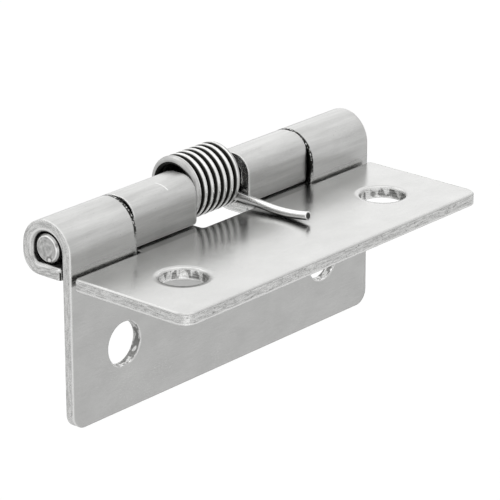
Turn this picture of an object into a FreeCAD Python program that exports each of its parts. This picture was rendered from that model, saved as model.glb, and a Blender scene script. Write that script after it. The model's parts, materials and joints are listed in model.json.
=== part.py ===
import FreeCAD
import Part
import math
import os

from FreeCAD import Vector

# Spring loaded door hinge, held open at a right angle.
# Working frame: X along the pin from its left end, Z up, pin axis through the origin.
# The fixed leaf hangs down from the pin and its mounting face looks toward -Y.
# The moving leaf lies toward -Y, and it is the mirror image of the fixed one about the 45 degree plane.

# Overall sizes of a small stainless hinge
HINGE_LENGTH = 60.0
LEAF_REACH = 24.2
SHEET = 1.6
PIN_DIAMETER = 4.0

# Fits and gaps
PIN_CLEARANCE = 0.15
CURL_SLACK = 0.6
CURL_SET = 0.2
LIP_GAP = 0.25
STOP_GAP = 0.5
KNUCKLE_GAP = 0.3
PIN_INSET = 0.2
WIRE_CLEARANCE = 0.05
SPRING_SIDE_CLEARANCE = 0.15

# Rolled knuckle
TURN_INSIDE = 1.0
INNER_KNUCKLE_WIDTH = 12.1

# Screw holes
HOLE_DIAMETER = 6.2
HOLE_FROM_END = 9.7
HOLE_FROM_AXIS = 14.9

# Corners and edges of the punched sheet
FREE_CORNER = 2.0
SHOULDER_CORNER = 0.6
ROOT_CORNER = 0.4
LIP_CORNER = 0.5
INNER_EDGE = 0.25
PIN_CHAMFER = 0.3

# Torsion spring
WIRE_DIAMETER = 1.2
WIRE_SIDES = 10
COIL_MEAN_DIAMETER = 8.0
COIL_TURNS = 7
COIL_PITCH = 1.3
LEG_BEND_RADIUS = 1.0
LEG_SLOPE_DEG = 5.0
LEG_CONTACT = 10.0
LEG_REACH = 14.4
TOE_RADIUS = 24.0

# Tolerances used to pick edges
CLOSE = 0.01
SHARP_SINE = 0.3

# Derived sizes
PIN_RADIUS = PIN_DIAMETER / 2
HOLE_RADIUS = HOLE_DIAMETER / 2
WIRE_RADIUS = WIRE_DIAMETER / 2
COIL_RADIUS = COIL_MEAN_DIAMETER / 2
CURL_INSIDE = PIN_RADIUS + CURL_SLACK
CURL_OUTSIDE = CURL_INSIDE + SHEET
OUTER_FACE = CURL_SET + CURL_OUTSIDE
INNER_FACE = OUTER_FACE - SHEET
LIP_HEIGHT = PIN_RADIUS + PIN_CLEARANCE
EDGE_FROM_AXIS = OUTER_FACE + STOP_GAP
SPRING_GAP = COIL_TURNS * COIL_PITCH + WIRE_DIAMETER + 2 * SPRING_SIDE_CLEARANCE
LEFT_INNER_END = (HINGE_LENGTH - SPRING_GAP) / 2
LEFT_INNER_START = LEFT_INNER_END - INNER_KNUCKLE_WIDTH
OUTER_KNUCKLE_WIDTH = LEFT_INNER_START - KNUCKLE_GAP
COIL_OFFSET = (COIL_RADIUS - WIRE_RADIUS - PIN_RADIUS - WIRE_CLEARANCE) / math.sqrt(2)
COIL_CENTRE = Vector(0, COIL_OFFSET, COIL_OFFSET)
LEG_HEIGHT = INNER_FACE - WIRE_RADIUS - WIRE_CLEARANCE

# Knuckle spans along the pin, as start and end
OUTER_KNUCKLES = (
    (0, OUTER_KNUCKLE_WIDTH),
    (HINGE_LENGTH - OUTER_KNUCKLE_WIDTH, HINGE_LENGTH),
)
INNER_KNUCKLES = (
    (LEFT_INNER_START, LEFT_INNER_END),
    (HINGE_LENGTH - LEFT_INNER_END, HINGE_LENGTH - LEFT_INNER_START),
)

# The origin lies on the mounting face, midway between the two holes of the fixed leaf
TO_ORIGIN = Vector(-HINGE_LENGTH / 2, OUTER_FACE, HOLE_FROM_AXIS)


def polar(centre, radius, angle):
    """Point on a circle across the pin, its angle counted from +Y toward +Z."""
    return centre + Vector(0, radius * math.cos(angle), radius * math.sin(angle))


def arc(centre, radius, start, end):
    """Circular edge across the pin between two angles."""
    return Part.Arc(*(polar(centre, radius, a) for a in (start, (start + end) / 2, end))).toShape()


def sheet_line(depth):
    """End view of one face of the rolled sheet, from the free edge of the leaf to the lip.

    The flat that is screwed down ends at the knuckle roots, and the rolled tongues start there.
    """
    curl_radius = CURL_INSIDE + depth
    turn_radius = TURN_INSIDE + depth
    curl_centre = Vector(0, -CURL_SET, -CURL_SET)
    turn_centre = Vector(0, CURL_INSIDE - CURL_SET - TURN_INSIDE, TURN_INSIDE - LIP_HEIGHT)
    near_side = -CURL_SET - curl_radius
    far_side = curl_radius - CURL_SET
    lip = turn_centre.z - turn_radius
    root = Vector(0, near_side, -EDGE_FROM_AXIS)
    return [
        Part.makeLine(Vector(0, near_side, -LEAF_REACH), root),
        Part.makeLine(root, Vector(0, near_side, -CURL_SET)),
        arc(curl_centre, curl_radius, math.pi, 0),
        Part.makeLine(Vector(0, far_side, -CURL_SET), Vector(0, far_side, turn_centre.z)),
        arc(turn_centre, turn_radius, 0, -math.pi / 2),
        Part.makeLine(Vector(0, turn_centre.y, lip), Vector(0, LIP_GAP - INNER_FACE, lip)),
    ]


def rolled_strip():
    """Leaf over its whole length before it is notched, with the sheet rolled round the pin."""
    inner = sheet_line(0)
    outer = sheet_line(SHEET)
    ends = [Part.makeLine(inner[n].Vertexes[n].Point, outer[n].Vertexes[n].Point) for n in (0, -1)]
    section = Part.Face(Part.Wire(inner + [ends[1]] + outer[::-1] + [ends[0]]))
    return section.extrude(Vector(HINGE_LENGTH, 0, 0))


def notches(spans):
    """Boxes that clear the strip between the knuckles, down to the straight inner edge."""
    stops = [0] + [x for span in spans for x in span] + [HINGE_LENGTH]
    boxes = []
    for start, end in zip(stops[::2], stops[1::2]):
        if end > start:
            corner = Vector(start, -OUTER_FACE, -EDGE_FROM_AXIS)
            height = EDGE_FROM_AXIS + CURL_OUTSIDE
            boxes.append(Part.makeBox(end - start, 2 * OUTER_FACE, height, corner))
    return boxes


def edges_across(shape, direction, spots):
    """Straight edges through the sheet that pass close to one of the (x, z) spots."""
    found = []
    for edge in shape.Edges:
        along = edge.Vertexes[-1].Point - edge.Vertexes[0].Point
        middle = edge.CenterOfMass
        through = abs(along.Length - SHEET) < CLOSE and along.cross(direction).Length < CLOSE
        if through and any(math.hypot(middle.x - x, middle.z - z) < CLOSE for x, z in spots):
            found.append(edge)
    return found


def sharp_edges(shape):
    """Edges at which two faces meet at an angle, each with its middle point."""
    found = []
    for edge in shape.Edges:
        middle = edge.valueAt((edge.FirstParameter + edge.LastParameter) / 2)
        normals = []
        for face in shape.ancestorsOfType(edge, Part.Face):
            normals.append(face.normalAt(*face.Surface.parameter(middle)))
        if len(normals) == 2 and normals[0].cross(normals[1]).Length > SHARP_SINE:
            found.append((edge, middle))
    return found


def ease_inner_rims(body):
    """Chamfer the punched edges on the inner face of the sheet. Those of the outer face stay sharp."""
    skin = Part.Wire(sheet_line(0)).extrude(Vector(HINGE_LENGTH, 0, 0))
    rims = []
    for edge, middle in sharp_edges(body):
        if Part.Vertex(middle).distToShape(skin)[0] < CLOSE:
            rims.append(edge)
    return body.makeChamfer(INNER_EDGE, rims)


def leaf(spans):
    """Leaf with knuckles on the given spans along the pin, cut and rolled from one sheet."""
    body = rolled_strip().cut(notches(spans))
    for x in (HOLE_FROM_END, HINGE_LENGTH - HOLE_FROM_END):
        middle = Vector(x, -OUTER_FACE, -HOLE_FROM_AXIS)
        body = body.cut(Part.makeCylinder(HOLE_RADIUS, SHEET, middle, Vector(0, 1, 0)))

    knuckle_sides = [x for span in spans for x in span]
    leaf_ends = [0, HINGE_LENGTH]
    inner_sides = [x for x in knuckle_sides if x not in leaf_ends]
    bare_ends = [x for x in leaf_ends if x not in knuckle_sides]
    lip_middle = -LIP_HEIGHT - SHEET / 2
    across_leaf = Vector(0, 1, 0)
    across_lip = Vector(0, 0, 1)
    corners = (
        (FREE_CORNER, across_leaf, [(x, -LEAF_REACH) for x in leaf_ends]),
        (ROOT_CORNER, across_leaf, [(x, -EDGE_FROM_AXIS) for x in inner_sides]),
        (SHOULDER_CORNER, across_leaf, [(x, -EDGE_FROM_AXIS) for x in bare_ends]),
        (LIP_CORNER, across_lip, [(x, lip_middle) for x in knuckle_sides]),
    )
    for radius, direction, spots in corners:
        if spots:
            body = body.makeFillet(radius, edges_across(body, direction, spots))
    return ease_inner_rims(body)


def hinge_pin():
    """Plain pin, a little shorter than the hinge, with a chamfer round each end."""
    length = HINGE_LENGTH - 2 * PIN_INSET
    pin = Part.makeCylinder(PIN_RADIUS, length, Vector(PIN_INSET, 0, 0), Vector(1, 0, 0))
    rims = [edge for edge, middle in sharp_edges(pin)]
    return pin.makeChamfer(PIN_CHAMFER, rims)


def wire_along(path, is_coil):
    """Spring wire with its centre line on a path.

    Its round section is drawn with flats, which keep the many turns light, and the corners
    lie as far outside the true circle as the flats lie inside it.
    """
    first = path.Edges[0]
    start = first.valueAt(first.FirstParameter)
    heading = first.tangentAt(first.FirstParameter)
    inward = COIL_CENTRE - start
    inward.x = 0
    inward.normalize()
    side = heading.cross(inward)
    corner_radius = 2 * WIRE_RADIUS / (1 + math.cos(math.pi / WIRE_SIDES))
    corners = []
    for n in range(WIRE_SIDES + 1):
        turn = 2 * math.pi * n / WIRE_SIDES
        corners.append(start + (inward * math.cos(turn) + side * math.sin(turn)) * corner_radius)
    return path.makePipeShell([Part.makePolygon(corners)], True, is_coil)


def leg_path():
    """Centre line of one spring leg across the pin, and the angle at which it leaves the coil.

    The wire turns outward from the coil, runs straight down to the moving leaf and ends
    in a toe that curves gently away from the sheet.
    """
    slope = math.radians(LEG_SLOPE_DEG)
    toe_centre = Vector(0, -LEG_CONTACT, TOE_RADIUS - LEG_HEIGHT)
    toe_start = polar(toe_centre, TOE_RADIUS, slope - math.pi / 2)
    tip = -math.pi / 2 - math.asin((LEG_REACH - LEG_CONTACT) / TOE_RADIUS)

    # The bend touches the coil from outside and the straight run from below
    toward_coil = Vector(0, math.cos(slope), math.sin(slope))
    below = Vector(0, math.sin(slope), -math.cos(slope))
    offset = toe_start + below * LEG_BEND_RADIUS - COIL_CENTRE
    along = offset.dot(toward_coil)
    reach = COIL_RADIUS + LEG_BEND_RADIUS
    run = -along - math.sqrt(along**2 - offset.dot(offset) + reach**2)
    to_bend = offset + toward_coil * run
    coil_end = math.atan2(to_bend.z, to_bend.y)
    bend_centre = COIL_CENTRE + to_bend
    edges = [
        arc(bend_centre, LEG_BEND_RADIUS, coil_end + math.pi, math.pi / 2 + slope),
        Part.makeLine(bend_centre - below * LEG_BEND_RADIUS, toe_start),
        arc(toe_centre, TOE_RADIUS, slope - math.pi / 2, tip),
    ]
    return Part.Wire(edges), coil_end


def torsion_spring():
    """Close wound coil round the pin, one leg behind the fixed leaf and one on the moving leaf."""
    leg_line, coil_end = leg_path()
    coil_start = math.pi / 2 - coil_end
    turns = COIL_TURNS - 1 + (coil_start - coil_end) / (2 * math.pi)
    coil_length = turns * COIL_PITCH
    half = Vector(coil_length / 2, 0, 0)

    # The helix is made standing up from its start on the X axis, then laid along the pin
    coil_line = Part.makeHelix(COIL_PITCH, coil_length, COIL_RADIUS, 0, True)
    coil_line.rotate(Vector(0, 0, 0), Vector(0, 1, 0), 90)
    coil_line.rotate(Vector(0, 0, 0), Vector(1, 0, 0), 90 + math.degrees(coil_start))
    coil_line.translate(COIL_CENTRE - half)

    # The leg leans along the pin by the climb of the coil, so that the wire runs on smoothly
    climb = math.degrees(math.atan(COIL_PITCH / (2 * math.pi * COIL_RADIUS)))
    leg_line.rotate(
        polar(COIL_CENTRE, COIL_RADIUS, coil_end), polar(Vector(0, 0, 0), -1, coil_end), climb
    )
    leg_line.translate(half)
    leg = wire_along(leg_line, False)
    other_leg = leg.rotated(Vector(0, 0, 0), Vector(0, 1, 1), 180)
    spring = wire_along(coil_line, True).fuse([leg, other_leg])
    spring.translate(Vector(HINGE_LENGTH / 2, 0, 0))
    return spring


def main():
    os.makedirs("parts", exist_ok=True)
    moving = leaf(INNER_KNUCKLES)
    pieces = {
        "fixed_leaf": leaf(OUTER_KNUCKLES),
        "moving_leaf": moving.mirror(Vector(0, 0, 0), Vector(0, 1, -1)),
        "hinge_pin": hinge_pin(),
        "torsion_spring": torsion_spring(),
    }
    for name, shape in pieces.items():
        shape.translate(TO_ORIGIN)
        shape.exportStep(f"parts/{name}.step")


main()
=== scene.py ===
# %% [markdown]
# # A spring loaded door hinge in stainless steel
# Two stamped leaves are rolled round one pin, and a wire spring wound round the pin presses
# them to a right angle. The leaves and the pin could be modelled again here, but they would
# then drift from the sizes of the CAD model. So the CAD model's own shapes are loaded, and
# this lesson gives them their finish, winds the spring from round wire and lights the lot as
# in a small studio.

# %% Load the frame
import json
import math

import bpy
from mathutils import Matrix, Vector


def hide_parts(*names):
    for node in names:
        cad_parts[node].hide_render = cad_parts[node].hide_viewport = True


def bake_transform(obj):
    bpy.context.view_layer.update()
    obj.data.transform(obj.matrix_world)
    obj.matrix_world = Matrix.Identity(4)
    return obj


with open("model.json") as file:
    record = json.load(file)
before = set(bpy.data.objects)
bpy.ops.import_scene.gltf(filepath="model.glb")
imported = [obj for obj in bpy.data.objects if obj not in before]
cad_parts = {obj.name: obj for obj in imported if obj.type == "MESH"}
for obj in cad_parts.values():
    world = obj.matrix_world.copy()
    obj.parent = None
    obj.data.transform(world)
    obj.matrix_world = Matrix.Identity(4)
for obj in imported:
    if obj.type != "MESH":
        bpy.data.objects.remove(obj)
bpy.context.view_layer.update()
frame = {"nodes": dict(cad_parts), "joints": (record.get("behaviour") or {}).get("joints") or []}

nodes = frame["nodes"]
print("CAD nodes:", sorted(nodes))

# %% [markdown]
# Everything is measured from the pin, because the knuckles, the coil and the swing of the
# leaf all share its axis. Blender works in metres and a hinge is drawn in millimetres. Each
# number could be written in metres, but rows of zeros hide mistakes, so one helper turns
# millimetres from the pin's middle into a place in the scene. From here on x runs along the
# pin, y runs away from the viewer and z runs up.

# %% Places measured from the pin
MM = 0.001
PIN = Vector(frame["joints"][0]["pos_m"])


def from_pin(x, y, z):
    """Place in the scene of a point given in millimetres from the pin's middle."""
    return PIN + Vector((x, y, z)) * MM


print("pin at", [round(c / MM, 2) for c in PIN], "mm")

# %% [markdown]
# A finish is a handful of patterns mixed by sums, such as grain plus scratches. Each Math
# node could be added and linked by hand, but a sum of six patterns then takes a page. A small
# class wraps a socket instead, and Python's own signs add the Math nodes, also where a plain
# number comes first, as in 1 - mask. Every other node comes from its one method, `add`. Two
# shapes of step turn up everywhere: `between` is a soft rise, and `strip` is a soft band.


# %% Sums on sockets
class Pattern:
    """A socket of a finish that takes part in sums."""

    def __init__(self, tree, socket=None):
        self.tree = tree
        self.socket = socket

    def add(self, kind, settings=None, values=None, out=0):
        """A new node, its settings first and then the values or links of its sockets."""
        node = self.tree.nodes.new("ShaderNode" + kind)
        for name, value in (settings or {}).items():
            setattr(node, name, value)
        for name, value in (values or {}).items():
            if isinstance(value, Pattern):
                self.tree.links.new(value.socket, node.inputs[name])
            else:
                node.inputs[name].default_value = value
        return Pattern(self.tree, node.outputs[out])

    def maths(self, operation, *values):
        """A Math node on patterns and plain numbers."""
        return self.add("Math", {"operation": operation}, dict(enumerate(values)))

    def __add__(self, other):
        return self.maths("ADD", self, other)

    def __sub__(self, other):
        return self.maths("SUBTRACT", self, other)

    def __rsub__(self, other):
        return self.maths("SUBTRACT", other, self)

    def __mul__(self, other):
        return self.maths("MULTIPLY", self, other)

    def __pow__(self, other):
        return self.maths("POWER", self, other)

    def __abs__(self):
        return self.maths("ABSOLUTE", self)

    __radd__ = __add__
    __rmul__ = __mul__

    def limited(self):
        """The pattern, cut off below 0 and above 1."""
        return self.add("Clamp", values={"Value": self})

    def between(self, low, high):
        """0 below low, 1 above high, with a soft step from one to the other."""
        spread = {"Value": self, "From Min": low, "From Max": high}
        return self.add("MapRange", {"interpolation_type": "SMOOTHSTEP"}, spread)

    def strip(self, middle, half, soft):
        """1 within half of the middle, falling to 0 over the soft border outside it."""
        return 1 - abs(self - middle).between(half, half + soft)


print("signs for patterns: + - * ** abs")

# %% [markdown]
# All the metal starts from the same base: a metallic shader, the place on the piece in
# millimetres, and a normal softened at the edges, because no stamped edge is a knife edge and
# the thin bright line along it tells the eye how thick the sheet is. A bevel in the mesh
# would give that line too, but the CAD meshes stay as they are, so the Bevel node bends the
# light instead. Where its normal leaves the true one is also where hands and a tumbling drum
# polish first, so the same difference is the mask of edge wear, and the finishes also use it
# to paint a highlight along the edges. In the narrow gaps between knuckles and leaves, where
# shade falls, the Ambient Occlusion node gives a mask that paints that shade near black.

# %% The base of every metal finish
BEVEL_RAYS = 6
EDGE_FROM = 0.02
EDGE_FULL = 0.25
GAP_RAYS = 8
GAP_REACH = 0.9
GAP_SHUT = 0.12
GAP_OPEN = 0.45


class Finish:
    """A metal material under construction, with the patterns that all metals share."""

    def __init__(self, name, edge_radius):
        self.material = bpy.data.materials.new(name)
        self.material.use_nodes = True
        self.tree = self.material.node_tree
        self.shader = self.tree.nodes["Principled BSDF"]
        start = Pattern(self.tree)
        self.place = start.add("Mapping", values={
            "Vector": start.add("TexCoord", out="Object"),
            "Location": tuple(-PIN / MM), "Scale": (1 / MM,) * 3})
        self.along, self.across, self.up = (
            start.add("SeparateXYZ", values={"Vector": self.place}, out=n) for n in range(3))
        self.soft_normal = start.add("Bevel", {"samples": BEVEL_RAYS},
                                     {"Radius": edge_radius * MM})
        agreement = start.add("VectorMath", {"operation": "DOT_PRODUCT"}, {
            0: self.soft_normal, 1: start.add("NewGeometry", out="True Normal")}, "Value")
        # The edge mask marks edge wear, and the finishes also use it to paint a highlight along
        # the edges.
        self.edge = (1 - agreement).between(EDGE_FROM, EDGE_FULL)
        # Painted shade: the narrow gaps that the AO node finds are darkened in the colour.
        openness = start.add("AmbientOcclusion", {"samples": GAP_RAYS},
                             {"Distance": GAP_REACH * MM}, "AO")
        self.painted_gap_shade = 1 - openness.between(GAP_SHUT, GAP_OPEN)
        self.start = start

    def stored(self, name):
        """A number that the mesh stores for each of its points."""
        return self.start.add("Attribute", {"attribute_name": name}, out="Fac")


print("gaps are felt for within", GAP_REACH, "mm")

# %% [markdown]
# Real metal is never even: it has grain, clouds, specks and scratches. A photograph of steel
# could be laid on it, but noise has no seams, needs no file and stays sharp from near by. A
# Mapping node of the Texture kind divides the place by the size of a spot, so each noise is
# asked for in millimetres, and long thin spots make grain. Scratches are the highest crests
# of such a thin noise, kept in patches, because handling never marks a sheet all over.


# %% Noise and scratches, by size in millimetres
SCRATCH_CREST = 0.66
PATCH_SIZE = 11


def noise(steel, size, detail=2.0, turn=0.0, seed=0.0, place=None):
    """Soft noise from 0 to 1, with spots of one size, or of three along x, y and z."""
    spread = steel.start.add("Mapping", {"vector_type": "TEXTURE"}, {
        "Vector": place or steel.place, "Location": (seed * 10,) * 3,
        "Rotation": (turn,) * 3, "Scale": size if isinstance(size, tuple) else (size,) * 3})
    return steel.start.add("TexNoise", values={
        "Vector": spread, "Scale": 1.0, "Detail": detail}, out="Fac")


def scratches(steel, size, turn, seed, share):
    """Fine separate scratches, in patches that cover a share of the surface."""
    streak = noise(steel, size, 1.0, turn, seed).between(SCRATCH_CREST, SCRATCH_CREST + 0.06)
    patch = noise(steel, PATCH_SIZE, 1.0, 0.0, seed + 5).between(1 - share, 1.15 - share)
    return streak * patch


print("scratches come in patches of about", PATCH_SIZE, "mm")

# %% [markdown]
# Each finish ends in the same way: one pattern, the tone, chooses between a dull and a bright
# grey, and the mask of grime and painted shade then covers that with near black. It could be
# part of the tone, but the darkest steel is still grey, and only dirt or painted shade in a
# gap is black. The relief goes through a Bump node, which tilts the softened normal, since
# grain a few thousandths of a millimetre deep is far too fine for real geometry. A Mix node
# has a set of sockets for each kind of value under the same names, so its colour sockets are
# called by number.

# %% Two greys, grime and painted shade, and relief, joined to the shader
# Near black, for grime and for painted shade.
GRIME_AND_SHADE_BLACK = (0.02, 0.02, 0.018, 1)
FIRST_COLOUR, SECOND_COLOUR, MIXED_COLOUR = 6, 7, 2


def join(steel, greys, tone, grime_and_shade, roughness, height, depth):
    """Links the patterns to the shader. The depth of the relief is in millimetres."""
    dull, bright = greys
    clean = steel.start.add("Mix", {"data_type": "RGBA"}, {
        "Factor": tone.limited(), FIRST_COLOUR: dull, SECOND_COLOUR: bright}, MIXED_COLOUR)
    colour = steel.start.add("Mix", {"data_type": "RGBA"}, {
        "Factor": grime_and_shade.limited(), FIRST_COLOUR: clean, SECOND_COLOUR: GRIME_AND_SHADE_BLACK}, MIXED_COLOUR)
    bump = steel.start.add("Bump", values={
        "Strength": 1.0, "Distance": depth * MM, "Height": height, "Normal": steel.soft_normal})
    for name, value in (("Base Color", colour), ("Roughness", roughness.limited()),
                        ("Normal", bump)):
        steel.tree.links.new(value.socket, steel.shader.inputs[name])
    steel.shader.inputs["Metallic"].default_value = 1.0
    return steel.material


print("grime is the colour", GRIME_AND_SHADE_BLACK[:3])

# %% [markdown]
# Some marks belong to a place on the hinge. The sheet is dulled where it was curled into
# knuckles, the punch draws it down round each screw hole on the side where it goes in, and
# the joints between the knuckles are filled with grime. They could be painted on an image,
# but distance alone finds them: from the pin's axis, from the middle of the nearest hole, and
# along the pin. One leaf is the other's mirror image, so the same sums serve both. The sizes
# repeat those of the CAD model, in millimetres.

# %% Curled sheet, drawn holes and the joints between knuckles
OUTER_FACE = 4.4
CURL_FADE = 0.8
HOLE_FROM_MIDDLE = 20.3
HOLE_FROM_PIN = 14.9
SEAM_FROM_MIDDLE = 17.88
SEAM_HALF = 0.2
SEAM_FADE = 0.12


def from_axis(steel):
    """Distance from the pin's axis, in millimetres."""
    return (steel.across * steel.across + steel.up * steel.up) ** 0.5


def curled_sheet(steel):
    """1 on the sheet that was rolled round the pin, 0 on the flat of the leaf."""
    return 1 - from_axis(steel).between(OUTER_FACE, OUTER_FACE + CURL_FADE)


def hole_reach(steel):
    """Distance from the nearest screw hole's middle on either leaf, in millimetres."""
    side = abs(steel.along) - HOLE_FROM_MIDDLE
    down_leaf = steel.start.maths("MINIMUM", steel.across, steel.up) + HOLE_FROM_PIN
    return (side * side + down_leaf ** 2.0) ** 0.5


def knuckle_seam(steel):
    """1 close to the joint between two knuckles, except low down on the left one."""
    low_left = (1 - steel.along.between(-1, 1)) * (1 - steel.up.between(-1.5, 0.5))
    return (abs(steel.along).strip(SEAM_FROM_MIDDLE, SEAM_HALF, SEAM_FADE)
            * (1 - low_left) * curled_sheet(steel))


print("knuckle joints at", SEAM_FROM_MIDDLE, "mm to either side")

# %% [markdown]
# Two more marks each belong to one place. A tool slipped over the top of the left inner
# knuckle and left one short bright groove, and the flat lips that end the inner knuckles get
# painted shade that darkens them towards their foot.
# Noise could put such marks anywhere, but a single mark looks real only where something could
# have made it, so each is a product of strips: one across it, one along it and one in height.

# %% A slipped tool's groove, and painted shade at the foot of the lips
GROOVE_FROM_MIDDLE = -10.817
GROOVE_LEAN = 0.278
GROOVE_ACROSS = -2.05
GROOVE_HALF_WIDTH = 0.04
GROOVE_HALF_LENGTH = 0.7
LIP_MIDDLE = 11.68
LIP_HALF = 6.04
LIP_FACE = -4.5


def tool_groove(steel):
    """1 in the one deep scratch on top of the left inner knuckle."""
    lengthways = steel.along + GROOVE_LEAN * steel.across
    return (lengthways.strip(GROOVE_FROM_MIDDLE, GROOVE_HALF_WIDTH, 0.09)
            * steel.across.strip(GROOVE_ACROSS, GROOVE_HALF_LENGTH, 0.3)
            * steel.up.between(2.0, 3.0))


def painted_lip_foot_shade(steel):
    """Painted shade: 1 at the foot of the flat lips in front of the inner knuckles, fading
    upwards.
    """
    return (abs(steel.along).strip(LIP_MIDDLE, LIP_HALF, 0.03)
            * steel.across.strip(LIP_FACE, 0.6, 0.5)
            * steel.up.between(-4.2, -4.0) * (1 - steel.up.between(-2.5, 2.8)))


print("tool groove", 2 * GROOVE_HALF_LENGTH, "mm long")

# %% [markdown]
# The leaves are stamped from cold rolled stainless sheet. Rolling leaves a very fine grain
# along the strip, handling adds short scratches that cross it, and the surface as a whole is
# slightly cloudy. One anisotropic shader would streak the light as well, but it shows no
# separate lines when seen from near by. So layers of noise, each stretched by its own amount,
# give the grain, the clouds and the scratches, and the marks of the steps above are added.
# The number before a pattern says how strongly it counts: in the tone, more is brighter, and
# in the height, a scratch counts downwards.

# %% Rolled sheet
HOLE_RADIUS = 3.1
DULL_STEEL = (0.2, 0.2, 0.195, 1)
ROLLED_STEEL = (0.86, 0.86, 0.85, 1)
SHEET_EDGE_RADIUS = 0.42
SHEET_RELIEF = 0.0025


def rolled_sheet():
    """The finish of the leaves' faces."""
    steel = Finish("rolled_stainless_sheet", SHEET_EDGE_RADIUS)
    grain = noise(steel, (3, 0.09, 0.09), 3.0)
    fine = noise(steel, (0.7, 0.05, 0.05), 2.0, seed=3.0)
    cloud = noise(steel, (5, 3.5, 3.5), 3.0, seed=7.0)
    roll_mark = noise(steel, (12, 0.8, 0.8), 3.0, seed=23.0)
    speck = noise(steel, 0.16, 2.0, seed=13.0).between(0.68, 0.74)
    chip = noise(steel, 0.25, 2.0, seed=31.0).between(0.55, 0.62)
    scratch = (scratches(steel, (2.5, 0.06, 0.06), 0.5, 11.0, 0.45)
               + scratches(steel, (2.0, 0.05, 0.05), -0.9, 21.0, 0.4))
    curled = curled_sheet(steel)
    groove = tool_groove(steel)
    inner_face = steel.stored("sheet_depth").between(0.8, 0.9)
    drawn_in = inner_face * hole_reach(steel).between(HOLE_RADIUS - 0.1, HOLE_RADIUS + 0.9)
    # The tone paints a highlight along the edges and painted shade at the foot of the lips.
    tone = (0.36 + 0.2 * cloud + 0.15 * grain + 0.15 * fine - 0.3 * speck
            + 0.7 * steel.edge + 0.3 * scratch + 0.8 * groove
            + curled * (0.4 * roll_mark + 0.4 * scratch - 0.2) - 0.36 * painted_lip_foot_shade(steel))
    # Painted shade in the narrow gaps, and dark joints between the knuckles.
    grime_and_shade = 0.97 * steel.painted_gap_shade.between(0.35, 1.0) + knuckle_seam(steel) * (1 - chip)
    roughness = (0.15 + 0.07 * cloud + 0.06 * grain - 0.04 * steel.edge + 0.1 * scratch
                 + 0.2 * steel.painted_gap_shade + 0.14 * curled)
    height = (0.4 * grain + 0.3 * fine - 0.8 * scratch - 8.0 * groove - 0.8 * speck
              + 45.0 * drawn_in)
    return join(steel, (DULL_STEEL, ROLLED_STEEL), tone, grime_and_shade, roughness, height, SHEET_RELIEF)


sheet_finish = rolled_sheet()
print("made", sheet_finish.name, "with", len(sheet_finish.node_tree.nodes), "nodes")

# %% [markdown]
# Where the press cut the sheet, the edge isn't like the face. The punch first shears a smooth
# burnished band, then the rest breaks away rough. How deep a point lies in the sheet decides
# which it is. That depth could be worked out in the shader, but the leaf bends round the pin,
# so Python works it out point by point and stores it as an attribute, 0 on the outer face and
# 1 on the inner one. The walls of the screw holes are stored in the same way. Below the pin
# the sheet is flat and its depth runs straight back, and round the pin it runs to the axis.


# %% Depth in the sheet, and its direction
SHEET = 1.6


def sheet_depth(y, z):
    """How deep a point lies in the sheet, from its place across the pin in millimetres."""
    if z < 0 and y < SHEET - OUTER_FACE + 0.01:
        depth = (y + OUTER_FACE) / SHEET
    else:
        depth = (OUTER_FACE - math.hypot(y, z)) / SHEET
    return min(max(depth, 0.0), 1.0)


def through_sheet(y, z):
    """Unit direction through the thickness of the sheet, across the pin."""
    if z < 0 and y < SHEET - OUTER_FACE + 0.3:
        return 1.0, 0.0
    reach = math.hypot(y, z)
    return y / reach, z / reach


print("depth on the outer face", sheet_depth(-OUTER_FACE, -10))
print("depth on the inner face", sheet_depth(SHEET - OUTER_FACE, -10))

# %% [markdown]
# The moving leaf is the fixed one's mirror image about the plane half way between them. Each
# rule could be written twice, once for a leaf, but swapping y and z turns one leaf into the
# other, so one rule serves both. Two more helpers are needed: one that knows a hole's wall,
# and one that stores a number for each point of a mesh.

# %% Swapped leaves, walls of holes and stored numbers
WALL_REACH = 0.4


def across_pin(vector, flipped):
    """The two parts of a vector across the pin, swapped for the leaf that is the mirror."""
    return (vector.z, vector.y) if flipped else (vector.y, vector.z)


def near_hole(x, z):
    """Whether a point lies on the wall of a screw hole."""
    reach = math.hypot(abs(x) - HOLE_FROM_MIDDLE, z + HOLE_FROM_PIN)
    return abs(reach - HOLE_RADIUS) < WALL_REACH


def store(mesh, name, values):
    """Stores one number for each point of a mesh."""
    mesh.attributes.new(name, "FLOAT", "POINT").data.foreach_set("value", values)


print("a point over the middle of a hole is on its wall:",
      near_hole(HOLE_FROM_MIDDLE, -HOLE_FROM_PIN))
print("a point on its edge is:", near_hole(HOLE_FROM_MIDDLE + HOLE_RADIUS, -HOLE_FROM_PIN))

# %% [markdown]
# A face was cut by the press if it doesn't look along the depth of the sheet. Those faces
# could be picked by hand in edit mode, but a test of each face's normal finds all of them.
# They take the leaf's second material slot, and the rest keep the rolled finish.

# %% Which faces the press cut
CUT_SLOPE = 0.6


def mark_cut_faces(leaf, flipped):
    """Stores depth and hole walls, gives the cut faces the second slot and counts them."""
    places = [(point.co - PIN) / MM for point in leaf.data.vertices]
    section = [across_pin(place, flipped) for place in places]
    store(leaf.data, "sheet_depth", [sheet_depth(y, z) for y, z in section])
    store(leaf.data, "hole_wall", [
        float(near_hole(place.x, z)) for place, (y, z) in zip(places, section)])
    cut = 0
    for face in leaf.data.polygons:
        normal = across_pin(face.normal, flipped)
        through = through_sheet(*across_pin((face.center - PIN) / MM, flipped))
        if abs(normal[0] * through[0] + normal[1] * through[1]) < CUT_SLOPE:
            face.material_index = 1
            cut += 1
    return cut


for name, flipped in (("fixed_leaf", False), ("moving_leaf", True)):
    leaf = nodes[name]
    leaf.data.materials.clear()
    leaf.data.materials.append(sheet_finish)
    print(name, "cut faces:", mark_cut_faces(leaf, flipped), "of", len(leaf.data.polygons))

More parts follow.
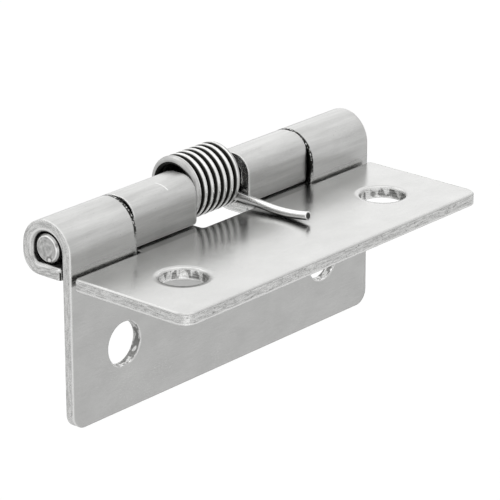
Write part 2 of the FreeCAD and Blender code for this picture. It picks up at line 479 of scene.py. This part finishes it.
# %% [markdown]
# Painted shade also darkens some of the cut edges. The knuckles' ends beside the coil lie in
# the coil's shadow, which is painted near black on them, all but their outermost rim, and
# the end of the lip under the pin lies in a shaded corner that is painted dark too. The gap
# shade mask is too weak there, because both places are open to one side. So they are strips
# again.

# %% Painted shade beside the coil and at the end of the lip
HALF_LENGTH = 30.0
KNUCKLE_END = 5.7
KNUCKLE_FOOT = -4.9
LIP_END_ACROSS = -2.48
LIP_END_UP = -3.9


def painted_coil_shadow(steel, depth):
    """Painted shadow of the coil: 1 on the knuckles' ends next to it, from just inside their
    outer rim.
    """
    return (abs(steel.along).strip(KNUCKLE_END, 0.2, 0.1) * depth.between(0.06, 0.16)
            * steel.up.between(KNUCKLE_FOOT, KNUCKLE_FOOT + 0.1)
            * steel.across.between(KNUCKLE_FOOT, KNUCKLE_FOOT + 0.1))


def painted_lip_end_shade(steel):
    """Painted shade: 1 along the end of the lip, next to the leaf, at both ends of the hinge."""
    return (steel.across.strip(LIP_END_ACROSS, 0.1, 0.12) * steel.up.strip(LIP_END_UP, 1.2, 0.1)
            * abs(steel.along).between(HALF_LENGTH - 0.3, HALF_LENGTH - 0.2))


print("the inner knuckles end", KNUCKLE_END, "mm from the middle, beside the coil")

# %% [markdown]
# The cut edge itself has streaks that follow the sheet, layer upon layer through its
# thickness, small torn grains and pits, and a painted highlight as a bright rim along both
# faces. Streaks that follow a bend could be unwrapped and painted. Here the noise has a fourth
# direction, and the stored depth runs along it, so the pattern changes fast through the sheet
# and slowly along it, whichever way the sheet turns. The walls of the holes are burnished by
# the punch and darker overall, and bright and dark bands are painted on them as a painted
# reflection. The holes of the leaf that hangs down get painted shade as well, because less
# light reaches them.

# %% Sheared edge
BRIGHT_STEEL = (0.92, 0.92, 0.91, 1)
CUT_EDGE_RADIUS = 0.26
CUT_RELIEF = 0.03
STREAK_SIZE = 1.3
LAYERS = 11.0
RIM_FROM = 0.82
RIM_FULL = 0.93


def sheared_edge():
    """The finish of the faces that the press cut."""
    steel = Finish("sheared_stainless_edge", CUT_EDGE_RADIUS)
    depth = steel.stored("sheet_depth")
    hole_wall = steel.stored("hole_wall")
    spread = steel.start.add("Mapping", {"vector_type": "TEXTURE"}, {
        "Vector": steel.place, "Scale": (STREAK_SIZE,) * 3})
    layers = steel.start.add("TexNoise", {"noise_dimensions": "4D"}, {
        "Vector": spread, "W": LAYERS * depth, "Scale": 1.0, "Detail": 3.0}, "Fac")
    streak = layers.between(0.35, 0.62)
    grains = noise(steel, 0.16, 3.0, seed=2.0).between(0.35, 0.68)
    pit = noise(steel, 0.3, 3.0, seed=9.0).between(0.58, 0.7)
    # Painted reflection: bright and dark bands on the walls of the holes.
    painted_wall_reflection = noise(steel, (0.8, 0.8, 1.6), 1.5, seed=19.0).between(0.44, 0.54)
    # Painted highlight: a bright rim along both faces of the sheet.
    rim_highlights = depth.between(RIM_FROM, RIM_FULL) + (1 - depth).between(RIM_FROM, RIM_FULL)
    # Painted shade in the holes of the leaf that hangs down.
    low_hole_shade = 1 - steel.up.between(-5.0, -4.5)
    # The edge mask adds a painted highlight along the edges.
    tone = (0.42 + 0.38 * streak + 0.12 * grains - 0.4 * pit + 0.8 * rim_highlights + 0.4 * steel.edge
            + hole_wall * (0.75 * painted_wall_reflection - 0.55 - 0.4 * low_hole_shade))
    # Painted shade in the gaps, at the end of the lip and on the knuckles' ends beside the coil,
    # and dark joints.
    grime_and_shade = (0.9 * steel.painted_gap_shade * (1 - 0.65 * hole_wall) + painted_lip_end_shade(steel)
             + 0.97 * painted_coil_shadow(steel, depth) + knuckle_seam(steel))
    roughness = 0.24 + 0.06 * grains + 0.12 * pit - 0.12 * rim_highlights
    height = 0.3 * streak + 0.12 * grains - 0.5 * pit
    return join(steel, (DULL_STEEL, BRIGHT_STEEL), tone, grime_and_shade, roughness, height, CUT_RELIEF)


cut_finish = sheared_edge()
for name in ("fixed_leaf", "moving_leaf"):
    nodes[name].data.materials.append(cut_finish)
print("made", cut_finish.name, "for the second slot of both leaves")

# %% [markdown]
# The pin is drawn rod, cropped to length. Its ends show the crop as mottled grey metal with a
# faint swirl inside a thin rim with a painted highlight, and the little of its side that shows
# has lines along it from the die. A small burr is left at the foot of the left end, with a
# painted glint, in a dent shown by painted shade. The burr could be a speck of geometry, but
# at a third of a millimetre the shape is lost and only its glint counts, so it is a bump with
# a painted glint. Everything on the end is found by distance: the rim and the swirl from the
# axis, the burr from its own middle.

# %% Drawn rod
CROPPED_STEEL = (0.3, 0.3, 0.295, 1)
PIN_RADIUS = 2.0
PIN_EDGE_RADIUS = 0.15
PIN_RELIEF = 0.04
BURR_ACROSS = -0.46
BURR_UP = -1.5
SWIRLS = 4.0


def drawn_rod():
    """The finish of the pin."""
    steel = Finish("drawn_stainless_rod", PIN_EDGE_RADIUS)
    reach = from_axis(steel)
    # Painted highlight along the rim of the pin's end.
    rim_highlight = reach.between(PIN_RADIUS - 0.45, PIN_RADIUS - 0.25)
    end = abs(steel.along).between(HALF_LENGTH - 0.3, HALF_LENGTH - 0.25)
    pits = noise(steel, 0.4, 4.0)
    draw = noise(steel, (5, 0.11, 0.11), 2.0, seed=4.0)
    from_burr = (steel.across - BURR_ACROSS) ** 2.0 + (steel.up - BURR_UP) ** 2.0
    left_end = (1 - steel.along.between(-1, 1)) * end
    # The burr is a bump with a painted glint, in a dent of painted shade.
    burr_with_glint = (1 - from_burr.between(0.06, 0.14)) * left_end
    dent_shade = (1 - from_burr.between(0.16, 0.5)) * left_end
    turned = noise(steel, 0.5, 2.0, seed=5.0)
    swirl = steel.start.add("TexNoise", values={
        "Vector": steel.start.add("CombineXYZ", values={"X": reach * SWIRLS, "Y": turned}),
        "Scale": 1.0, "Detail": 2.0}, out="Fac").between(0.4, 0.6)
    # The tone adds the painted highlights of the rim, the burr and the edges, and the dent's
    # painted shade.
    tone = (end * (1.3 * pits + 0.15 * swirl + 1.1 * rim_highlight - 0.35) + 0.7 * draw * (1 - end)
            + 0.3 * steel.edge + 1.6 * burr_with_glint - 0.5 * dent_shade)
    roughness = 0.24 + 0.2 * end * (1 - rim_highlight) * pits
    height = pits * end * (1 - rim_highlight) + 0.15 * draw + 6.0 * burr_with_glint
    # The gap shade is painted near black.
    return join(steel, (CROPPED_STEEL, BRIGHT_STEEL), tone, steel.painted_gap_shade, roughness, height,
                PIN_RELIEF)


pin = nodes["hinge_pin"]
pin.data.materials.clear()
pin.data.materials.append(drawn_rod())
print("pin finish:", pin.data.materials[0].name)

# %% [markdown]
# The spring is one length of round wire: seven turns wound round the pin, and a straight leg
# off each end that bends out of the coil and lies along a leaf. It could be a curve with a
# bevel, but a wire is quicker to bend the way a spring maker does it. First comes a ring for
# the section of the wire, stood up at the left end of the coil, and a Screw modifier winds it
# into the turns. The ring's origin is set on the axis first, because that is what Screw turns
# it about. The coil is wider than the pin, and its legs push it away from the leaves until it
# meets the pin, so its axis lies off the pin's by the same amount up and back.

# %% Wind the coil
WIRE_RADIUS = 0.6
COIL_RADIUS = 4.0
COIL_OFFSET = 0.9546
HALF_COIL = 4.549
COIL_TURN = math.radians(6.9987 * 360)
COIL_END_ANGLE = math.radians(-134.77)
RING_POINTS = 32
STEPS_PER_TURN = 44

coil_left = from_pin(-HALF_COIL, COIL_OFFSET, COIL_OFFSET)
start_angle = COIL_END_ANGLE + COIL_TURN
outward = Vector((0, math.cos(start_angle), math.sin(start_angle)))

bpy.ops.object.select_all(action="DESELECT")
bpy.ops.mesh.primitive_circle_add(
    vertices=RING_POINTS, radius=WIRE_RADIUS * MM,
    location=coil_left + outward * COIL_RADIUS * MM, rotation=(start_angle, 0, 0))
wire = bpy.context.object
wire.name = wire.data.name = "coiled_spring_wire"
bpy.context.scene.cursor.location = coil_left
bpy.ops.object.transform_apply(location=False)
bpy.ops.object.origin_set(type="ORIGIN_CURSOR")
screw = wire.modifiers.new("coil", "SCREW")
screw.axis = "X"
screw.angle = -COIL_TURN
screw.screw_offset = 2 * HALF_COIL * MM
screw.steps = screw.render_steps = round(STEPS_PER_TURN * COIL_TURN / (2 * math.pi))
screw.use_merge_vertices = False
bpy.ops.object.modifier_apply(modifier="coil")
bpy.ops.object.transform_apply(location=True)
print("coil points:", len(wire.data.vertices))

# %% [markdown]
# Each leg grows out of the open ring at its end of the coil. It could be a second piece of
# tube that is merely pushed into the coil, but then a seam would show where the wire should
# run on. The ring leans by the slope of the winding, so the axis of every bend leans with it,
# and the leg leaves the coil smoothly. Both legs are alike, and the second is the first one
# turned half way round the line between the leaves. These are the places of its bends, with
# their angles measured from y towards z.

# %% Where the leg bends
PITCH = 1.3
LEAN = math.atan(PITCH / (2 * math.pi * COIL_RADIUS))
BEND_RADIUS = 1.0
BEND = math.radians(49.77)
STRAIGHT_FROM = Vector((HALF_COIL, -2.654, -1.599))
STRAIGHT_TO = Vector((HALF_COIL, -7.908, -2.059))
TOE_RADIUS = 24.0
TOE_BEND = math.radians(-15.56)
TOE_FROM = math.radians(-85.0)

coil_out = Vector((0, math.cos(COIL_END_ANGLE), math.sin(COIL_END_ANGLE)))
coil_end = Vector((HALF_COIL, COIL_OFFSET, COIL_OFFSET)) + coil_out * COIL_RADIUS
bend_middle = coil_end + coil_out * BEND_RADIUS
toe_out = Vector((0, math.cos(TOE_FROM), math.sin(TOE_FROM)))
toe_middle = STRAIGHT_TO - toe_out * TOE_RADIUS
tip_angle = TOE_FROM + TOE_BEND
tip_way = Vector((0, math.sin(tip_angle), -math.cos(tip_angle)))
lean = Matrix.Rotation(-LEAN, 3, coil_out)
half_turn = Matrix.Rotation(math.pi, 3, Vector((0, 1, 1)))
print("straight run of a leg:", round((STRAIGHT_TO - STRAIGHT_FROM).length, 2), "mm")

# %% [markdown]
# In edit mode the ring is selected by its place, spun round the bend, pushed out straight and
# spun again for the toe that lifts off the leaf. Spin turns clockwise about its axis, so it
# is given each angle with the sign changed. The wire is cropped to length, which leaves a
# slightly rounded tip with a bright ring round a dull middle, so the last ring is drawn in a
# little, closed with a face, and that face is inset.

# %% How a leg is drawn out of the coil
BEND_STEPS = 8
TOE_STEPS = 10
TIP_LENGTH = 0.05
TIP_SHARE = 0.9
TIP_RING = 0.17


def draw_leg(wire, turned):
    """Grows one leg from the ring at its end of the coil, in edit mode."""
    def place(point):
        """Where a point of the right leg, drawn upright, comes to lie on this one."""
        leaning = coil_end + lean @ (point - coil_end)
        return from_pin(*(turned @ leaning))

    axis = turned @ lean @ Vector((1, 0, 0))
    ring = place(coil_end)
    bpy.ops.object.mode_set(mode="OBJECT")
    for part in (wire.data.polygons, wire.data.edges, wire.data.vertices):
        for item in part:
            item.select = False
    for point in wire.data.vertices:
        point.select = (point.co - ring).length < WIRE_RADIUS * MM * 1.05
    bpy.ops.object.mode_set(mode="EDIT")
    bpy.ops.mesh.select_mode(type="VERT")
    bpy.ops.mesh.spin(steps=BEND_STEPS, angle=-BEND, center=place(bend_middle), axis=axis)
    run = turned @ lean @ (STRAIGHT_TO - STRAIGHT_FROM) * MM
    bpy.ops.mesh.extrude_region_move(TRANSFORM_OT_translate={"value": run})
    bpy.ops.mesh.spin(steps=TOE_STEPS, angle=-TOE_BEND, center=place(toe_middle), axis=axis)
    tip = turned @ lean @ tip_way * TIP_LENGTH * MM
    bpy.ops.mesh.extrude_region_move(TRANSFORM_OT_translate={"value": tip})
    bpy.ops.transform.resize(value=(TIP_SHARE,) * 3)
    bpy.ops.mesh.edge_face_add()
    bpy.ops.mesh.inset(thickness=TIP_RING * MM)
    bpy.ops.object.mode_set(mode="OBJECT")


print("bends of a leg:", BEND_STEPS, "steps at the coil and", TOE_STEPS, "at the toe")

# %% [markdown]
# Now both legs are drawn, and the wire is cleaned. Spin can leave points doubled and faces
# turned inside out. Each could be looked for by eye, but merging the doubles and then
# recalculating the normals mends them all. The sides are shaded smooth up to an angle, so
# the rim of each cropped tip stays crisp.

# %% Draw both legs and clean the wire
draw_leg(wire, Matrix.Identity(3))
draw_leg(wire, half_turn)
bpy.ops.object.mode_set(mode="EDIT")
bpy.ops.mesh.select_all(action="SELECT")
bpy.ops.mesh.remove_doubles(threshold=0.01 * MM)
bpy.ops.mesh.normals_make_consistent(inside=False)
bpy.ops.object.mode_set(mode="OBJECT")
bpy.ops.object.shade_smooth_by_angle(angle=math.radians(40))
print("spring points:", len(wire.data.vertices), "faces:", len(wire.data.polygons))
wire_low = [round(min(v.co[n] for v in wire.data.vertices) / MM, 3) for n in range(3)]
wire_high = [round(max(v.co[n] for v in wire.data.vertices) / MM, 3) for n in range(3)]
print("spring box", wire_low, wire_high)

# %% [markdown]
# Where one turn lies against the next, shade falls in the groove, which is why a coil looks
# striped, so the groove is painted nearly black. The gap shade mask of the other metals could
# find the grooves, but it would be coarse at this size and would change as the coil twists.
# So the painted shade is stored point by point while the coil still has its drawn shape. It
# is 0 on the crest of each turn and grows towards the groove. The inside of the coil is
# painted dark all over, the outer sides of the first and last turn a little, and so is the
# side of each leg that faces its leaf.

# %% How much painted shade a point of the wire gets
END_SIDE_SHADE = 0.2
LEG_SHADE = 0.65


def from_coil_axis(point):
    """Distance of a point from the axis of the coil, in millimetres."""
    return math.hypot(point.y - COIL_OFFSET, point.z - COIL_OFFSET)


def painted_wire_shade(point):
    """Painted shade: 0 on the crest of the wire and 1 inside the coil, from a place in
    millimetres.
    """
    reach = from_coil_axis(point)
    angle = math.atan2(point.z - COIL_OFFSET, point.y - COIL_OFFSET)
    first = -HALF_COIL + PITCH * ((start_angle - angle) / (2 * math.pi) % 1)
    last = HALF_COIL - PITCH * ((angle - COIL_END_ANGLE) / (2 * math.pi) % 1)
    if reach < COIL_RADIUS - 0.2 * WIRE_RADIUS:
        return 1.0
    if reach > COIL_RADIUS + 1.1 * WIRE_RADIUS:
        return 0.0
    if point.x < first or point.x > last:
        return END_SIDE_SHADE
    return max(1 - ((reach - COIL_RADIUS) / WIRE_RADIUS) ** 2, 0.0)


def underside(point, normal):
    """How much painted shade a point on a leg gets on the side that faces its leaf."""
    if from_coil_axis(point) <= COIL_RADIUS + 1.0:
        return 0.0
    facing = -normal.z if point.x > 0 else -normal.y
    return LEG_SHADE * max(facing + 0.05, 0.0)


print("inside the coil:", painted_wire_shade(Vector((0, COIL_OFFSET, COIL_OFFSET))))

# %% [markdown]
# The painted shade is now stored on every point. The cut tips could have a finish of their
# own, but they are only a little darker, so the flat faces that close them are found by their
# number of corners and given one darker tone in the same store, and the ring round each stays
# bright.

# %% Store the painted shade of the wire
TIP_SHADE = 0.34

# Painted shade in the grooves, inside the coil and under the legs, and a darker tone on the tips.
store(wire.data, "painted_wire_shade", [
    max(painted_wire_shade((v.co - PIN) / MM), underside((v.co - PIN) / MM, v.normal))
    for v in wire.data.vertices])
groove = wire.data.attributes["painted_wire_shade"].data
tips = [face for face in wire.data.polygons if len(face.vertices) == RING_POINTS]
for face in tips:
    for corner in face.vertices:
        groove[corner].value = TIP_SHADE
print("wire tips:", len(tips), "darkest point:", max(point.value for point in groove))

# %% [markdown]
# Spring wire is drawn hard and bright, with fine lines that follow it. Lines that follow a
# coil could be laid by an unwrapped pattern. But each turn is nearly a circle round the
# coil's axis, so noise that reads only the place along that axis and the distance from it is
# the same all the way round a turn, and gives lines along the wire without any unwrapping.

# %% Drawn spring wire
WIRE_DARK = (0.1, 0.1, 0.1, 1)
WIRE_EDGE_RADIUS = 0.02
WIRE_RELIEF = 0.004


def spring_wire():
    """The finish of the spring."""
    steel = Finish("drawn_spring_wire", WIRE_EDGE_RADIUS)
    reach = ((steel.across - COIL_OFFSET) ** 2.0 + (steel.up - COIL_OFFSET) ** 2.0) ** 0.5
    round_coil = steel.start.add("CombineXYZ", values={"X": steel.along, "Y": reach})
    line = noise(steel, 0.11, 3.0, place=round_coil)
    cloud = noise(steel, 2, 2.0, seed=6.0)
    speck = noise(steel, 0.17, 2.0, seed=8.0).between(0.62, 0.7)
    # Painted shade from the stored values, near black in the grooves and inside the coil.
    grime_and_shade = (steel.stored("painted_wire_shade") + 0.12 * cloud).between(0.08, 0.46)
    tone = 0.9 + 0.2 * line + 0.15 * cloud - 0.3 * speck
    roughness = 0.14 + 0.06 * cloud + 0.1 * line + 0.12 * speck + 0.25 * grime_and_shade
    return join(steel, (WIRE_DARK, BRIGHT_STEEL), tone, grime_and_shade, roughness, line, WIRE_RELIEF)


wire.data.materials.append(spring_wire())
print("spring finish:", wire.data.materials[0].name)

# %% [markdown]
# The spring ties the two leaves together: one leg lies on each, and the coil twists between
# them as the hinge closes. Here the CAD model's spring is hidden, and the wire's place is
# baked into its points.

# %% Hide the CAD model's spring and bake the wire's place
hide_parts("torsion_spring")
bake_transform(wire)
print("the coil twists over", round(2 * HALF_COIL, 2), "mm")

# %% [markdown]
# Goods in a catalogue stand before white. The background could be made white with stronger
# lamps, but they would bleach the steel as well. Light Path instead tells which rays come
# from the camera, from a gloss or through glass, and those find white. Plain light finds
# only a grey room, so it stays at a level that shows the steel as it is.


# %% White background
def seen_directly(start):
    """1 for a ray from the camera, from a gloss or through glass, and 0 for plain light."""
    camera, gloss, glass = (start.add("LightPath", out="Is " + kind + " Ray")
                            for kind in ("Camera", "Glossy", "Transmission"))
    return (camera + gloss + glass).limited()


ROOM_GREY = 0.55

world = bpy.data.worlds.new("white_room")
bpy.context.scene.world = world
world.use_nodes = True
backdrop = world.node_tree.nodes["Background"]
backdrop.inputs["Strength"].default_value = 1.0
room_white = ROOM_GREY + (1 - ROOM_GREY) * seen_directly(Pattern(world.node_tree))
world.node_tree.links.new(room_white.socket, backdrop.inputs["Color"])
print("the room gives plain light of", ROOM_GREY)

# %% [markdown]
# The hinge hangs over a pale floor, far enough above it to throw only a breath of shadow. The
# floor could be left out, but a thing with no shadow at all looks pasted on. For the rays
# that the camera sees, the floor has a little light of its own, which brings it up to the
# white of the background, and the shadow stays.

# %% Pale floor
FLOOR = -60.0 * MM
FLOOR_SIZE = 6.0
FLOOR_GLOW = 0.42

bpy.ops.object.select_all(action="DESELECT")
bpy.ops.mesh.primitive_plane_add(size=FLOOR_SIZE, location=(0, 0, FLOOR))
floor = bpy.context.object
floor.name = "floor"
pale = bpy.data.materials.new("pale_floor")
pale.use_nodes = True
floor_shader = pale.node_tree.nodes["Principled BSDF"]
floor_shader.inputs["Base Color"].default_value = (0.9, 0.9, 0.9, 1)
floor_shader.inputs["Roughness"].default_value = 0.9
floor_shader.inputs["Emission Strength"].default_value = FLOOR_GLOW
floor_white = seen_directly(Pattern(pale.node_tree))
pale.node_tree.links.new(floor_white.socket, floor_shader.inputs["Emission Color"])
floor.data.materials.append(pale)
print("floor at", round(FLOOR / MM), "mm")

# %% [markdown]
# Small polished goods are lit by large soft boxes, which give broad highlights and soft
# shadows. A sun lamp or a bare bulb would leave hard glints on the wire. An Area lamp is
# Blender's soft box: the key hangs high above and a little to the front, and a weaker one
# stands behind on the right, where the open leaf mirrors it as a soft sheen.


# %% Lamps
def softbox(name, place, watts, side):
    """A square soft lamp that looks at the hinge. The place and the side are in metres."""
    lamp = bpy.data.lights.new(name, "AREA")
    lamp.energy = watts
    lamp.size = side
    stand = bpy.data.objects.new(name, lamp)
    stand.location = Vector(place)
    stand.rotation_euler = (-stand.location).to_track_quat("-Z", "Y").to_euler()
    bpy.context.scene.collection.objects.link(stand)
    print("lamp", name, watts, "W")


softbox("key", place=(0.1, -0.2, 1.1), watts=1.6, side=1.2)
softbox("back", place=(0.8, 0.62, 0.36), watts=0.3, side=0.6)

# %% [markdown]
# Metal is only as good as what it mirrors: the white room alone would make it flat. Grey
# paint on the steel could fake the tones, but they would then stay put when the leaf swings.
# So cards stand round the hinge, as a photographer would place them. The dark one behind the
# camera and the grey one on the right shade the round of the knuckles, the leaf that hangs
# down mirrors the grey table, and the two bright ones draw the light lines along the edges.
# Only reflections see the cards: they cast no shadow and give no plain light.


# %% Cards that the steel mirrors
def card(name, place, width, height, grey, look_at=(0, 0, 0)):
    """A flat card that only reflections see. Places and sides are in metres."""
    bpy.ops.object.select_all(action="DESELECT")
    facing = (Vector(look_at) - Vector(place)).to_track_quat("Z", "Y").to_euler()
    bpy.ops.mesh.primitive_plane_add(size=1.0, location=place, rotation=facing)
    sheet = bpy.context.object
    sheet.scale = (width, height, 1)
    sheet.name = name
    paint = bpy.data.materials.new(name)
    paint.use_nodes = True
    shader = paint.node_tree.nodes["Principled BSDF"]
    shader.inputs["Base Color"].default_value = (0, 0, 0, 1)
    shader.inputs["Specular IOR Level"].default_value = 0
    shader.inputs["Emission Color"].default_value = (grey, grey, grey, 1)
    shader.inputs["Emission Strength"].default_value = 1.0
    sheet.data.materials.append(paint)
    sheet.visible_camera = False
    sheet.visible_diffuse = False
    sheet.visible_shadow = False
    print(name, "at", place)


card("dark_card_behind_camera", place=(-0.57, -0.49, 0.28), width=0.3, height=0.3, grey=0.25)
card("grey_card_front_right", place=(0.49, -0.43, 0.17), width=0.55, height=0.3, grey=0.75)
card("bright_card_high_behind", place=(-0.1, 0.7, 0.85), width=0.9, height=0.6, grey=1.5)
card("bright_card_low_left", place=(-0.12, -0.14, -0.052), width=0.15, height=0.15, grey=1.2)
card("grey_table", place=(0, 0, FLOOR + 2 * MM), width=2.4, height=2.4, grey=0.72,
     look_at=(0, 0, 1))

# %% [markdown]
# The camera stands to the left, in front and above, as for a picture in a catalogue. It could
# be aimed by hand in the viewport, but a direction built from two angles round the hinge is
# the same on every run. A long lens from a distance keeps the leaves nearly parallel. A
# camera looks along its own -Z, so its three axes are worked out and set as one matrix.

# %% Camera
CAMERA_PLACE = Vector((-283.655, -250.245, 151.470)) * MM
TURN, RISE, ROLL = (math.radians(a) for a in (-49.054, 20.874, -0.095))
LENS = 216.48
SENSOR = 36.0
NEAREST = 0.01
FARTHEST = 20.0

back = Vector((math.sin(TURN) * math.cos(RISE), -math.cos(TURN) * math.cos(RISE), math.sin(RISE)))
level_right = Vector((math.cos(TURN), math.sin(TURN), 0))
level_up = back.cross(level_right)
right = level_right * math.cos(ROLL) + level_up * math.sin(ROLL)
up = level_up * math.cos(ROLL) - level_right * math.sin(ROLL)

lens = bpy.data.cameras.new("camera")
lens.lens = LENS
lens.sensor_width = SENSOR
lens.clip_start = NEAREST
lens.clip_end = FARTHEST
camera = bpy.data.objects.new("camera", lens)
axes = Matrix((right, up, back)).transposed()
camera.matrix_world = Matrix.Translation(CAMERA_PLACE) @ axes.to_4x4()
bpy.context.scene.collection.objects.link(camera)
bpy.context.scene.camera = camera
bpy.context.scene.view_settings.view_transform = "Standard"
print("camera at", [round(c, 3) for c in camera.location])
